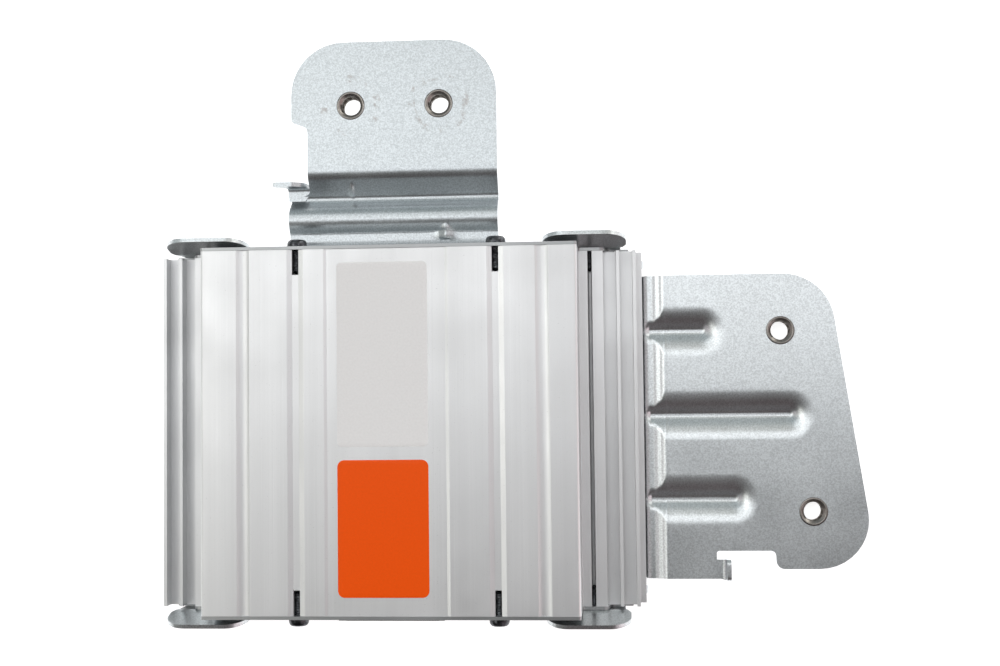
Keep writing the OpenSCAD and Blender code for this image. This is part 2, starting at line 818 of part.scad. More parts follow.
module control_chips() {
    color("black") for (p = [[-28, 46], [-28, 30], [26, -32]]) translate([p[0], p[1], top_z]) {
        translate([-chip[0] / 2, -chip[1] / 2, chip_lift]) cube(chip);
        for (i = [-2:2], s = [-1, 1]) translate([s * (chip[0] + 1) / 2 - lead[0] / 2,
            i * lead_pitch - lead[1] / 2, 0]) cube(lead);
    }
}

varistor_r = 6.5;
varistor_t = 4;
varistor_leg_l = 4;

module varistor() {
    centre_z = varistor_r + 1.5;
    color("royalblue") translate([46, -36, top_z]) {
        rod_y(0, centre_z, varistor_r, -varistor_t / 2, varistor_t / 2);
        for (s = [-1, 1]) translate([s * 3.5, 0, 0]) cylinder(d = 0.8, h = varistor_leg_l);
    }
}

// ---- Connector ----

header_back = -half_l + header_l;
header_face = -plate_y - header_proud;
floor_t = 3;
terminal_w = 1.5;
terminal_t = 0.8;
terminal_z = top_z + header_wall + 2.2;

module connector_header() {
    half = header_w / 2;
    color("black") difference() {
        union() {
            box([header_x - half, header_face, top_z], [header_x + half, header_back,
                top_z + header_h]);
            box([header_x - half - flange_over, -plate_y - 1.6, top_z - flange_over],
                [header_x + half + flange_over, -plate_y, top_z + header_h + flange_over]);
        }
        box([header_x - half + header_wall, header_face - 1, top_z + header_wall],
            [header_x + half - header_wall, header_back - floor_t, top_z + header_h
                - header_wall]);
        for (x = terminal_x) box([x - terminal_w / 2 - press, header_back - floor_t - 1,
            terminal_z - terminal_t / 2 - press], [x + terminal_w / 2 + press,
            header_back + 1, terminal_z + terminal_t / 2 + press]);
    }
}

terminal_pitch = 4.4;
terminal_x = [for (i = [0:terminal_count - 1])
    header_x + (i - (terminal_count - 1) / 2) * terminal_pitch];

module connector_terminals() {
    half = terminal_w / 2;
    high = terminal_z + terminal_t / 2;
    color("silver") for (x = terminal_x) {
        box([x - half, header_face + 4, high - terminal_t], [x + half, header_back + 4, high]);
        box([x - half, header_back + 4 - terminal_t, top_z], [x + half, header_back + 4, high]);
    }
}

housing();
rear_end_plate();
connector_end_plate();
upper_end_screws();
lower_end_screws();
base_cradle();
side_arm_nuts();
top_bracket();
bracket_nuts();
bracket_rivets();
white_sticker();
orange_sticker();
circuit_board();
transformer_core();
transformer_bobbin();
transformer_winding();
choke_core();
choke_winding();
input_capacitors();
high_voltage_capacitor();
film_capacitors();
input_transistors();
bridge_transistors();
insulating_pads();
clamp_bars();
clamp_screws();
fuse_holder();
blade_fuse();
control_chips();
varistor();
connector_header();
connector_terminals();
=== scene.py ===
import json
import math
import random

import bmesh
import bpy
from bpy.props import FloatProperty, FloatVectorProperty, PointerProperty
from mathutils import Matrix, Vector


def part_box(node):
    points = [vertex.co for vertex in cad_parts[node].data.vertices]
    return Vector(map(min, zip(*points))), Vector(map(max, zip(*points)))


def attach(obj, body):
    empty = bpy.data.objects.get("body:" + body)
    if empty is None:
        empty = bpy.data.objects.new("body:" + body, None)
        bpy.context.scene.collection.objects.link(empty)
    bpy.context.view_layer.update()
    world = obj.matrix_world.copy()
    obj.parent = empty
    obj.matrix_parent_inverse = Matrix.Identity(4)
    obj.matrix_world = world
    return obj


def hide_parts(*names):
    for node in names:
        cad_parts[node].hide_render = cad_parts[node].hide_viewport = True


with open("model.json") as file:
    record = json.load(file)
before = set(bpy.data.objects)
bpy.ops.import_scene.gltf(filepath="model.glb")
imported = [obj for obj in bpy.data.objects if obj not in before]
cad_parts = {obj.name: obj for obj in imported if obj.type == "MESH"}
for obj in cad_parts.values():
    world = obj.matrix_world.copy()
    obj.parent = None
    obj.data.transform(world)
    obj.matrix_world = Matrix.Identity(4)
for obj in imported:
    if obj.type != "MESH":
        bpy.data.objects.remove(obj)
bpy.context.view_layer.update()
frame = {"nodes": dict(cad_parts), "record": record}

bl_info = {
    "name": "Power Inverter Module",
    "version": (1, 0, 0),
    "blender": (4, 5, 0),
    "location": "View3D > Sidebar > Inverter",
    "description": "Dresses a finned power inverter and its pressed brackets for a studio view",
    "category": "Object",
}

# ---- Sizes shared by several pieces, in millimetres ----

MM = 0.001
CRADLE_T = 1.5          # cradle sheet
BRACKET_T = 1.6         # top bracket sheet
PLATE_T = 1.2           # end plates
ARM_Z = 6.5             # underside of the side arm
PAD_Z = 22.4            # underside of the bracket pad
SCREW_HEAD_R = 3.6      # end screws' heads
SCREW_HEAD_H = 2.6
NUT_HOLE_R = 5.23       # hole in a sheet that a clinch nut's collar fills
SHEET_EDGE = 0.16       # broken edge of a blanked steel sheet
ROUND_STEPS = 10        # straight pieces in a rounded corner


def corners_of(node):
    """The lowest and highest corners of a CAD node, in millimetres."""
    low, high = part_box(node)
    return low / MM, high / MM


HALF_W, HALF_L, ROOF_Z = corners_of("housing")[1]
PLATE_Y = HALF_L + PLATE_T
EAR_Y = PLATE_Y + CRADLE_T


# ---- Colour and node helpers ----

def linear(code):
    """An sRGB hex colour as linear RGBA."""
    parts = [int(code[i:i + 2], 16) / 255 for i in (1, 3, 5)]
    return [c / 12.92 if c <= 0.04045 else ((c + 0.055) / 1.055) ** 2.4 for c in parts] + [1.0]


def grey(value):
    return (value, value, value, 1.0)


def darker(colour, share):
    """A linear colour with this share of its brightness."""
    return [c * share for c in colour[:3]] + [1.0]


def feed(tree, node, inputs):
    """Sets a node's inputs to values, or links them where a socket is given."""
    for name, value in inputs.items():
        if isinstance(value, bpy.types.NodeSocket):
            tree.links.new(value, node.inputs[name])
        else:
            node.inputs[name].default_value = value


def add(tree, kind, inputs=None, **settings):
    """Adds one node, with its settings, its input values and its incoming links."""
    node = tree.nodes.new(kind)
    for name, value in settings.items():
        setattr(node, name, value)
    feed(tree, node, inputs or {})
    return node


def new_material(name):
    """An empty node material, its tree, its shader and its object coordinates."""
    made = bpy.data.materials.new(name)
    made.use_nodes = True
    tree = made.node_tree
    tree.nodes.clear()
    shader = add(tree, "ShaderNodeBsdfPrincipled")
    add(tree, "ShaderNodeOutputMaterial", {"Surface": shader.outputs["BSDF"]})
    place = add(tree, "ShaderNodeTexCoord").outputs["Object"]
    return made, tree, shader, place


def per_mm(size):
    """The texture scale of a pattern whose features are this many millimetres across."""
    return 1 / (size * MM)


def stretched(tree, place, sizes, **inputs):
    """Texture coordinates for features this many millimetres long in X, Y and Z."""
    scale = [per_mm(size) for size in sizes]
    return add(tree, "ShaderNodeMapping", {"Vector": place, "Scale": scale,
        **inputs}).outputs["Vector"]


def noise(tree, place, size, detail, roughness=0.5, distortion=0.0):
    """Noise whose features are size millimetres across, or three sizes where it is drawn
    out along an axis."""
    scale = 1.0
    if isinstance(size, tuple):
        place = stretched(tree, place, size)
    else:
        scale = per_mm(size)
    return add(tree, "ShaderNodeTexNoise", {"Vector": place, "Scale": scale, "Detail": detail,
        "Roughness": roughness, "Distortion": distortion}).outputs["Fac"]


def ramp(tree, factor, *stops):
    """A colour ramp over a factor. Each stop is (position, colour)."""
    node = add(tree, "ShaderNodeValToRGB", {"Fac": factor})
    elements = node.color_ramp.elements
    while len(elements) < len(stops):
        elements.new(0.5)
    for element, (position, colour) in zip(elements, stops):
        element.position = position
        element.color = colour
    return node.outputs["Color"]


def spread(tree, value, low, high, start=0.0, end=1.0):
    """A value turned from the range start to end into the range low to high."""
    return add(tree, "ShaderNodeMapRange", {"Value": value, "From Min": start,
        "From Max": end, "To Min": low, "To Max": high}).outputs["Result"]


def mix(tree, factor, first, second, blend="MIX"):
    """Two colours mixed by a factor."""
    return add(tree, "ShaderNodeMix", {"Factor": factor, 6: first, 7: second},
        data_type="RGBA", blend_type=blend).outputs[2]


def maths(tree, operation, *values):
    return add(tree, "ShaderNodeMath", dict(enumerate(values)),
        operation=operation).outputs["Value"]


def relief(tree, height, strength, depth, under=None):
    """A surface relief this many millimetres deep, laid over another where one is given."""
    inputs = {"Height": height, "Strength": strength, "Distance": depth * MM}
    if under is not None:
        inputs["Normal"] = under
    return add(tree, "ShaderNodeBump", inputs).outputs["Normal"]


# ---- Materials ----

def mill_finish_aluminium(name, colour, line_depth, roughness):
    """Extruded aluminium, alloy 6063, as it left the die: fine lines along Y, a dull white
    sheen, and small handling scratches."""
    made, tree, shader, place = new_material(name)
    die_lines = noise(tree, place, (0.7, 160, 0.7), 3.0, 0.6)
    bands = noise(tree, place, (6, 300, 6), 2.0)
    cloud = noise(tree, place, 28, 3.0)
    pits = ramp(tree, noise(tree, place, 0.5, 2.0), (0.24, grey(0.72)), (0.30, grey(1.0)))
    tint = ramp(tree, bands, (0.35, linear(colour)),
        (0.65, [min(1.0, c * 1.06) for c in linear(colour)]))
    scratches = add(tree, "ShaderNodeTexVoronoi", {"Scale": 0.22,
        "Vector": stretched(tree, place, (1.2, 11, 4), Rotation=(0, 0, 0.5))},
        feature="DISTANCE_TO_EDGE")
    nick = ramp(tree, scratches.outputs["Distance"], (0.0, grey(0.0)), (0.006, grey(1.0)))
    grooves = relief(tree, die_lines, 1.0, line_depth)
    feed(tree, shader, {"Metallic": 1.0,
        "Base Color": mix(tree, 1.0, tint, pits, "MULTIPLY"),
        "Roughness": spread(tree, cloud, roughness - 0.05, roughness + 0.05, 0.3, 0.7),
        "Normal": relief(tree, nick, 0.25, 0.02, grooves)})
    return made


def sheared_aluminium(name, colour, edge_tone_and_shade, roughness):
    """Rolled aluminium sheet, alloy 5052, blanked by a press: bright faces across Y, and cut edges
    painted a darker grey, partly the torn edge's own duller tone and partly painted shade for the
    dark line along the edge."""
    made = mill_finish_aluminium(name, colour, 0.03, roughness)
    tree = made.node_tree
    shader = next(node for node in tree.nodes if node.type == "BSDF_PRINCIPLED")
    face_colour = shader.inputs["Base Color"].links[0].from_socket
    # Surfaces that do not face along Y, the cut edges, get the darker edge grey: partly their torn
    # tone, partly painted shade.
    facing = add(tree, "ShaderNodeSeparateXYZ",
        {"Vector": add(tree, "ShaderNodeNewGeometry").outputs["Normal"]})
    flat = spread(tree, maths(tree, "ABSOLUTE", facing.outputs["Y"]), 0.0, 1.0, 0.4, 0.8)
    feed(tree, shader, {"Base Color": mix(tree, flat, linear(edge_tone_and_shade), face_colour)})
    return made


def zinc_plated_steel(name, colour, roughness, scuffs=()):
    """Cold-rolled steel, blanked and pressed, then bright zinc plated: a bluish grey with a
    fine crystalline grain, cloudier in places. scuffs are the places in millimetres, each
    (x, y, z), around which a setting tool has rubbed it."""
    made, tree, shader, place = new_material(name)
    # The real grain is near 0.1 mm. It is drawn at 0.55 mm so that it shows.
    grain = noise(tree, place, 0.55, 2.5, 0.75)
    cloud = noise(tree, place, 22, 1.5)
    base = linear(colour)
    tint = ramp(tree, cloud, (0.3, darker(base, 0.93)), (0.7, base))
    fleck = ramp(tree, grain, (0.39, grey(0.70)), (0.61, grey(0.97)))
    shade = mix(tree, 1.0, tint, fleck, "MULTIPLY")
    smear = noise(tree, place, 5, 5.0, 0.7)
    for scuff in scuffs:
        shade = scuffed(tree, place, shade, smear, scuff)
    feed(tree, shader, {"Base Color": shade, "Metallic": 1.0,
        "Roughness": spread(tree, cloud, roughness, roughness + 0.06, 0.3, 0.7),
        "Normal": relief(tree, grain, 0.6, 0.03)})
    return made


def scuffed(tree, place, shade, smear, centre):
    """The colour shade with a broken brown ring, rubbed by a tool around a nut's centre."""
    ring_r = 10
    reach = add(tree, "ShaderNodeVectorMath", {0: place, 1: [c * MM for c in centre]},
        operation="DISTANCE").outputs["Value"]
    away = maths(tree, "ABSOLUTE", maths(tree, "SUBTRACT", reach, ring_r * MM))
    band = spread(tree, away, 1.0, 0.0, 1.2 * MM, 3.4 * MM)
    mask = spread(tree, maths(tree, "MULTIPLY", band, smear), 0.0, 0.55, 0.53, 0.62)
    return mix(tree, mask, shade, linear("#8d8580"))


def black_oxide_steel(name):
    """Hardened screw steel with an oiled black oxide: dark grey, with a soft oily gloss."""
    made, tree, shader, place = new_material(name)
    mottle = noise(tree, place, 1.2, 4.0)
    feed(tree, shader, {"Metallic": 0.9,
        "Base Color": ramp(tree, mottle, (0.35, linear("#26272a")), (0.75, linear("#6c6e72"))),
        "Roughness": spread(tree, mottle, 0.15, 0.30),
        "Normal": relief(tree, mottle, 0.3, 0.03)})
    return made


def label_film(name, colour, gloss):
    """Printed polyester film with a clear overlay: an even colour with a faint print mottle
    and the slight waviness of a hand-applied label."""
    made, tree, shader, place = new_material(name)
    mottle = noise(tree, place, 0.8, 3.0)
    wave = noise(tree, place, 14, 2.0)
    base = linear(colour)
    feed(tree, shader, {"IOR": 1.5, "Specular IOR Level": 0.15,
        "Base Color": ramp(tree, mottle, (0.3, darker(base, 0.95)), (0.7, base)),
        "Roughness": spread(tree, mottle, gloss - 0.05, gloss + 0.07),
        "Normal": relief(tree, wave, 0.4, 0.08)})
    return made


def moulded_plastic(name, colour, roughness, grain_mm):
    """Injection-moulded nylon or polyester with a fine spark-eroded mould texture."""
    made, tree, shader, place = new_material(name)
    grain = noise(tree, place, grain_mm, 4.0)
    flow = noise(tree, place, 9, 2.0, distortion=1.0)
    base = linear(colour)
    feed(tree, shader, {"IOR": 1.53,
        "Base Color": ramp(tree, flow, (0.3, darker(base, 0.85)), (0.7, base)),
        "Roughness": spread(tree, grain, roughness - 0.08, roughness + 0.08),
        "Normal": relief(tree, grain, 0.5, 0.03)})
    return made


def enamelled_copper(name):
    """Drawn copper wire under a clear amber enamel: orange metal with a hard gloss."""
    made, tree, shader, place = new_material(name)
    uneven = noise(tree, place, 3, 3.0)
    feed(tree, shader, {"Metallic": 0.9, "Roughness": 0.28, "Coat Weight": 0.6,
        "Base Color": ramp(tree, uneven, (0.3, linear("#8f3f14")), (0.7, linear("#c4672a"))),
        "Normal": relief(tree, uneven, 0.2, 0.05)})
    return made


def plated_contact(name, colour):
    """Stamped brass strip with bright tin plate: smooth, pale, with drawn marks."""
    made, tree, shader, place = new_material(name)
    drawn = noise(tree, place, (0.2, 4, 0.2), 3.0)
    base = linear(colour)
    feed(tree, shader, {"Metallic": 1.0, "Roughness": 0.27,
        "Base Color": ramp(tree, drawn, (0.3, darker(base, 0.85)), (0.7, base)),
        "Normal": relief(tree, drawn, 0.3, 0.02)})
    return made


MATERIALS = {}


def finish_named(name, make, *values):
    """The material of that name, made the first time it is asked for."""
    if name not in MATERIALS:
        MATERIALS[name] = make(name, *values)
    return MATERIALS[name]


def hex_of(colour):
    """A property's colour, kept as sRGB, as a hex code."""
    return "#" + "".join(f"{round(c * 255):02x}" for c in colour)


def srgb(code):
    """A hex colour as three sRGB numbers, for a property's default."""
    return tuple(int(code[i:i + 2], 16) / 255 for i in (1, 3, 5))


# ---- Mesh helpers ----

def link_piece(name, mesh, material, slot, *nodes):
    """Makes an object, gives it its material, rides it on the body and replaces its nodes."""
    piece = bpy.data.objects.new(name, mesh)
    bpy.context.scene.collection.objects.link(piece)
    mesh.materials.clear()
    mesh.materials.append(material)
    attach(piece, "root")
    if nodes:
        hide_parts(*nodes)
    return piece


def smooth_by_angle(mesh, degrees):
    """Shades smooth, and marks the edges sharper than the angle as sharp."""
    mesh.shade_smooth()
    form = bmesh.new()
    form.from_mesh(mesh)
    for edge in form.edges:
        edge.smooth = len(edge.link_faces) == 2 and edge.calc_face_angle() < math.radians(degrees)
    form.to_mesh(mesh)
    form.free()


def soften_edges(piece, width, segments=2, degrees=35):
    """Rounds a piece's sharp edges by this many millimetres, as on the real part."""
    bevel = piece.modifiers.new("edge_break", "BEVEL")
    bevel.width = width * MM
    bevel.segments = segments
    bevel.limit_method = "ANGLE"
    bevel.angle_limit = math.radians(degrees)
    bevel.harden_normals = True
    bevel.use_clamp_overlap = True
    return piece


def finished_copy(node, material, edge_break, crease=30):
    """A piece with a CAD node's shape, its flat faces joined up and its edges broken where
    they turn by more than the crease angle."""
    mesh = frame["nodes"][node].data.copy()
    form = bmesh.new()
    form.from_mesh(mesh)
    bmesh.ops.remove_doubles(form, verts=form.verts, dist=1e-6)
    bmesh.ops.dissolve_limit(form, angle_limit=math.radians(0.5), verts=form.verts,
        edges=form.edges, use_dissolve_boundaries=False)
    form.to_mesh(mesh)
    form.free()
    if mesh.has_custom_normals:
        bpy.context.view_layer.update()
        mesh.attributes.remove(mesh.attributes["custom_normal"])
    smooth_by_angle(mesh, crease)
    slot = slot_of(node)
    piece = link_piece(node + "_finish", mesh, material, slot, node)
    return soften_edges(piece, edge_break, degrees=crease)


def slot_of(node):
    """The record's material slot of a CAD node."""
    return next(s["material_slot"] for s in frame["record"]["subparts"] if s["node"] == node)


def unit(v):
    length = math.hypot(*v)
    return (v[0] / length, v[1] / length)


def rounded(points):
    """A closed outline whose points are (x, y, corner radius), with its corners as arcs."""
    outline = []
    for i, (x, y, r) in enumerate(points):
        before = points[i - 1]
        after = points[(i + 1) % len(points)]
        outline += fillet(before, (x, y), after, r)
    return outline


def fillet(before, at, after, r):
    """The arc that rounds the corner at, or the corner itself when r is 0."""
    if r <= 0:
        return [at]
    u = unit((before[0] - at[0], before[1] - at[1]))
    v = unit((after[0] - at[0], after[1] - at[1]))
    half = math.acos(max(-1, min(1, u[0] * v[0] + u[1] * v[1]))) / 2
    bisector = unit((u[0] + v[0], u[1] + v[1]))
    middle = (at[0] + bisector[0] * r / math.sin(half), at[1] + bisector[1] * r / math.sin(half))
    reach = r / math.tan(half)
    first = math.atan2(at[1] + u[1] * reach - middle[1], at[0] + u[0] * reach - middle[0])
    last = math.atan2(at[1] + v[1] * reach - middle[1], at[0] + v[0] * reach - middle[0])
    turn = (last - first + 3 * math.pi) % (2 * math.pi) - math.pi
    return [around(middle, r, first + turn * k / ROUND_STEPS) for k in range(ROUND_STEPS + 1)]


def around(middle, r, angle):
    return (middle[0] + r * math.cos(angle), middle[1] + r * math.sin(angle))


def circle(x, y, r, steps=40):
    return [around((x, y), r, 2 * math.pi * k / steps) for k in range(steps)]


class BentPath:
    """One side of a bent sheet's section: straight stretches joined by arcs, measured by
    the distance along it. corners are (a, b, inner radius), and the sheet of thickness t
    lies on the path's left."""

    def __init__(self, corners, t):
        self.t = t
        self.points = []
        last = len(corners) - 1
        for i, (a, b, r) in enumerate(corners):
            if i in (0, last):
                self.points.append((a, b))
                continue
            before, after = corners[i - 1], corners[i + 1]
            left_turn = ((a - before[0]) * (after[1] - b) - (b - before[1]) * (after[0] - a)) > 0
            self.points += fillet(before, (a, b), after, r + (t if left_turn else 0))
        self.marks = [0.0]
        for p, q in zip(self.points, self.points[1:]):
            self.marks.append(self.marks[-1] + math.dist(p, q))
        self.normals = []
        for i in range(len(self.points)):
            p = self.points[max(0, i - 1)]
            q = self.points[min(len(self.points) - 1, i + 1)]
            d = unit((q[0] - p[0], q[1] - p[1]))
            self.normals.append((-d[1], d[0]))

    @property
    def length(self):
        return self.marks[-1]

    def at(self, s):
        """The two faces' points (near, away) at distance s."""
        s = max(0.0, min(self.length, s))
        i = next((k for k in range(1, len(self.marks)) if self.marks[k] >= s), 1)
        k = (s - self.marks[i - 1]) / max(1e-9, self.marks[i] - self.marks[i - 1])
        p, q = self.points[i - 1], self.points[i]
        m, n = self.normals[i - 1], self.normals[i]
        normal = unit((m[0] + (n[0] - m[0]) * k, m[1] + (n[1] - m[1]) * k))
        near = (p[0] + (q[0] - p[0]) * k, p[1] + (q[1] - p[1]) * k)
        return near, (near[0] + normal[0] * self.t, near[1] + normal[1] * self.t)

    def where(self, axis, value):
        """The last distance at which the path reaches this value of a (0) or b (1)."""
        for i in range(len(self.points) - 1, 0, -1):
            p, q = self.points[i - 1][axis], self.points[i][axis]
            if min(p, q) <= value <= max(p, q) and p != q:
                return self.marks[i - 1] + (value - p) / (q - p) * (self.marks[i] - self.marks[i - 1])
        return self.length


def steps_between(low, high, size):
    """Evenly spaced places strictly between low and high, about size apart."""
    count = max(1, round((high - low) / size))
    return [low + (high - low) * k / count for k in range(1, count)]


def pressed_sheet(form, outline, holes, cuts_u, cuts_v, place):
    """Adds a sheet-metal blank to form. Its outline and holes are flat loops of (u, v). The
    cuts part it into small cells, and place(u, v) gives the points of its two faces."""
    flat = bmesh.new()
    for loop in [outline] + holes:
        corners = [flat.verts.new((u, v, 0)) for u, v in loop]
        for k, corner in enumerate(corners):
            flat.edges.new((corner, corners[(k + 1) % len(corners)]))
    bmesh.ops.triangle_fill(flat, use_beauty=True, edges=flat.edges[:])
    for direction, cuts in (((1, 0, 0), cuts_u), ((0, 1, 0), cuts_v)):
        for cut in cuts:
            bmesh.ops.bisect_plane(flat, geom=flat.verts[:] + flat.edges[:] + flat.faces[:],
                dist=1e-4, plane_co=[c * cut for c in direction], plane_no=direction)
    flat.verts.index_update()
    near, away = [], []
    for corner in flat.verts:
        low, high = place(corner.co.x, corner.co.y)
        near.append(form.verts.new([c * MM for c in low]))
        away.append(form.verts.new([c * MM for c in high]))
    for face in flat.faces:
        order = [v.index for v in face.verts]
        if face.normal.z < 0:
            order.reverse()
        form.faces.new([away[i] for i in order])
        form.faces.new([near[i] for i in reversed(order)])
    for edge in flat.edges:
        if len(edge.link_faces) == 1:
            loop = edge.link_loops[0]
            first, second = loop.vert.index, loop.link_loop_next.vert.index
            if edge.link_faces[0].normal.z < 0:
                first, second = second, first
            form.faces.new([near[first], near[second], away[second], away[first]])
    flat.free()


def turned(form, profile, place, steps=48, thread=None):
    """Adds a turned part to form: profile is a closed or open list of (radius, height) in
    millimetres. thread is (pitch, depth, low, high, sign) and cuts a helix between two
    heights, inwards on a shaft (sign -1) or outwards in a bore (sign 1)."""
    rings = []
    for r, z in profile:
        radii = [r + thread_cut(z, k / steps, *thread) if thread else r for k in range(steps)]
        rings.append(ring_of(form, place, radii, z))
    for lower, upper in zip(rings, rings[1:]):
        bridge(form, lower, upper)
    return rings


def thread_cut(z, turn, pitch, depth, low, high, sign):
    """How far a thread moves the surface at a height and at this share of a turn."""
    if not low <= z <= high:
        return 0.0
    phase = (z / pitch - turn) % 1.0
    run_out = min(1.0, (z - low) / pitch, (high - z) / pitch)
    return sign * depth * abs(2 * phase - 1) * max(0.0, run_out)


def ring_of(form, place, radii, z):
    """A ring of points at a height, one for each radius."""
    angles = [2 * math.pi * k / len(radii) for k in range(len(radii))]
    return [form.verts.new(place @ (Vector((r * math.cos(a), r * math.sin(a), z)) * MM))
        for r, a in zip(radii, angles)]


def bridge(form, lower, upper):
    """Joins two rings by a band of faces."""
    for k in range(len(lower)):
        nxt = (k + 1) % len(lower)
        form.faces.new((lower[k], lower[nxt], upper[nxt], upper[k]))


def seat(x, y, z, tilt=0):
    """A turned part's place in millimetres, tilted about X by this many degrees."""
    return Matrix.Translation(Vector((x, y, z)) * MM) \
        @ Matrix.Rotation(math.radians(tilt), 4, "X")


def close_ring(form, ring, flip=False):
    """Closes the end of a turned part with one face."""
    form.faces.new(reversed(ring) if flip else ring)


def done(form, name, degrees=30):
    """Turns a form into a mesh with outward normals and smooth shading."""
    bmesh.ops.remove_doubles(form, verts=form.verts, dist=1e-6)
    bmesh.ops.recalc_face_normals(form, faces=form.faces)
    mesh = bpy.data.meshes.new(name)
    form.to_mesh(mesh)
    form.free()
    smooth_by_angle(mesh, degrees)
    return mesh


def link_pressing(form, node, zinc):
    """Makes a pressed sheet's piece, with the edges of its blank broken."""
    piece = link_piece(node + "_pressed", done(form, node, 50), zinc, slot_of(node), node)
    soften_edges(piece, SHEET_EDGE, degrees=60)


# ---- Housing and end plates ----

class INVERTER_OT_housing(bpy.types.Operator):
    """Finish the extruded housing: broken edges and die lines"""
    bl_idname = "inverter.housing"
    bl_label = "Housing"

    def execute(self, context):
        look = context.scene.inverter_metal
        metal = finish_named("aluminium_6063_extruded", mill_finish_aluminium,
            hex_of(look.aluminium), 0.05, look.aluminium_roughness)
        finished_copy("housing", metal, 0.22, crease=15)
        return {"FINISHED"}


class INVERTER_OT_end_plates(bpy.types.Operator):
    """Finish the two sheet-aluminium end plates"""
    bl_idname = "inverter.end_plates"
    bl_label = "End plates"

    def execute(self, context):
        look = context.scene.inverter_metal
        # a2a4a5 is the cut edges' darker grey: partly their torn tone, partly painted shade.
        sheet = finish_named("aluminium_5052_sheared_sheet", sheared_aluminium,
            hex_of(look.plate), "#a2a4a5", look.aluminium_roughness - 0.06)
        for node in ("rear_end_plate", "connector_end_plate"):
            finished_copy(node, sheet, 0.15)
        return {"FINISHED"}


# ---- Fasteners ----

def screw(form, place):
    """A thread-forming pan-head screw along -Z from its seat, with a six-lobe socket."""
    head_r, head_h, shank_r, length = SCREW_HEAD_R, SCREW_HEAD_H, 1.74, 10.0
    pitch, thread_depth, point, crown, rim, steps = 0.9, 0.18, 1.2, 1.25, 0.8, 40
    count = int((length - point - 0.2) / (pitch / 10))
    shank = [(0.15, -length), (0.9, -length + 0.5)]
    shank += [(shank_r, -length + point + 0.1 + k * pitch / 10) for k in range(count)]
    shank += [(shank_r, -0.05), (shank_r, 0.0)]
    head = [(head_r - 0.25, 0.0), (head_r, 0.22), (head_r, rim)]
    head += [(head_r - crown + crown * math.cos(a), rim + (head_h - rim) * math.sin(a))
        for a in (math.radians(d) for d in range(15, 91, 15))]
    rings = turned(form, shank + head, place, steps,
        (pitch, thread_depth, -length + point, -0.6, -1))
    close_ring(form, rings[0], True)
    socket(form, place, rings[-1], head_h, steps)


def socket(form, place, rim, top, steps):
    """Cuts a six-lobe socket into a screw head whose top ends in the ring rim."""
    lobes, reach, bite, depth = 6, 1.25, 0.16, 1.3
    radii = [reach + bite * math.cos(lobes * (2 * math.pi * k / steps)) for k in range(steps)]
    mouth, floor = [ring_of(form, place, radii, z) for z in (top - 0.02, top - depth)]
    bridge(form, rim, mouth)
    bridge(form, mouth, floor)
    close_ring(form, floor)


def screw_places(node):
    """Where a node's four screws seat: their centres are the corners of its box."""
    low, high = corners_of(node)
    return [seat(x, y, (low.z + high.z) / 2, quarter)
        for x in (low.x + SCREW_HEAD_R, high.x - SCREW_HEAD_R)
        for y, quarter in ((low.y + SCREW_HEAD_H, 90), (high.y - SCREW_HEAD_H, -90))]


class INVERTER_OT_end_screws(bpy.types.Operator):
    """Make the eight thread-forming screws that hold the end plates"""
    bl_idname = "inverter.end_screws"
    bl_label = "End screws"

    def execute(self, context):
        oxide = finish_named("steel_black_oxide_screw", black_oxide_steel)
        for node in ("upper_end_screws", "lower_end_screws"):
            form = bmesh.new()
            for place in screw_places(node):
                screw(form, place)
            mesh = done(form, node, 40)
            link_piece(node + "_threaded", mesh, oxide, slot_of(node), node)
        return {"FINISHED"}


def clinch_nut(form, place, sheet_t):
    """A self-clinching nut, collar up at the place, with a real thread in its bore."""
    bore, collar, body, body_h, pitch = 3.4, 5.2, 6.35, 5.4, 1.25
    low = -sheet_t - body_h
    outside = [(bore + 0.5, low), (body - 0.4, low), (body - 0.12, low + 0.12),
        (body, low + 0.4), (body, -sheet_t - 0.15), (body - 0.15, -sheet_t),
        (collar, -sheet_t), (collar, -0.35), (collar - 0.12, -0.1), (collar - 0.4, 0.0),
        (bore + 1.15, 0.0), (bore + 1.0, -0.08)]
    count = int((-low - 1.0) / (pitch / 10))
    inside = [(bore, -1.0 - k * pitch / 10) for k in range(count)]
    inside += [(bore, low + 0.5), (bore + 0.5, low)]
    turned(form, outside + inside, place, 56, (pitch, 0.55, low + 0.3, -0.6, 1))


class INVERTER_OT_clinch_nuts(bpy.types.Operator):
    """Make the threaded clinch nuts in the side arm and the top bracket"""
    bl_idname = "inverter.clinch_nuts"
    bl_label = "Clinch nuts"

    def execute(self, context):
        plated = finish_named("steel_zinc_plated_nut", zinc_plated_steel, "#9d9893", 0.27)
        for node, sheet_t in (("side_arm_nuts", CRADLE_T), ("bracket_nuts", BRACKET_T)):
            form = bmesh.new()
            for centre in nut_centres(node):
                clinch_nut(form, seat(*centre), sheet_t)
            mesh = done(form, node, 35)
            link_piece(node + "_threaded", mesh, plated, slot_of(node), node)
        return {"FINISHED"}


def nut_centres(node):
    """The centres of a node's two nuts, at their collars' tops, read from the mounts."""
    top = corners_of(node)[1].z
    one_nut = node.removesuffix("s")
    return [(m["pos_m"][0] / MM, m["pos_m"][1] / MM, top)
        for m in frame["record"]["mounts"] if m["name"].startswith(one_nut)]


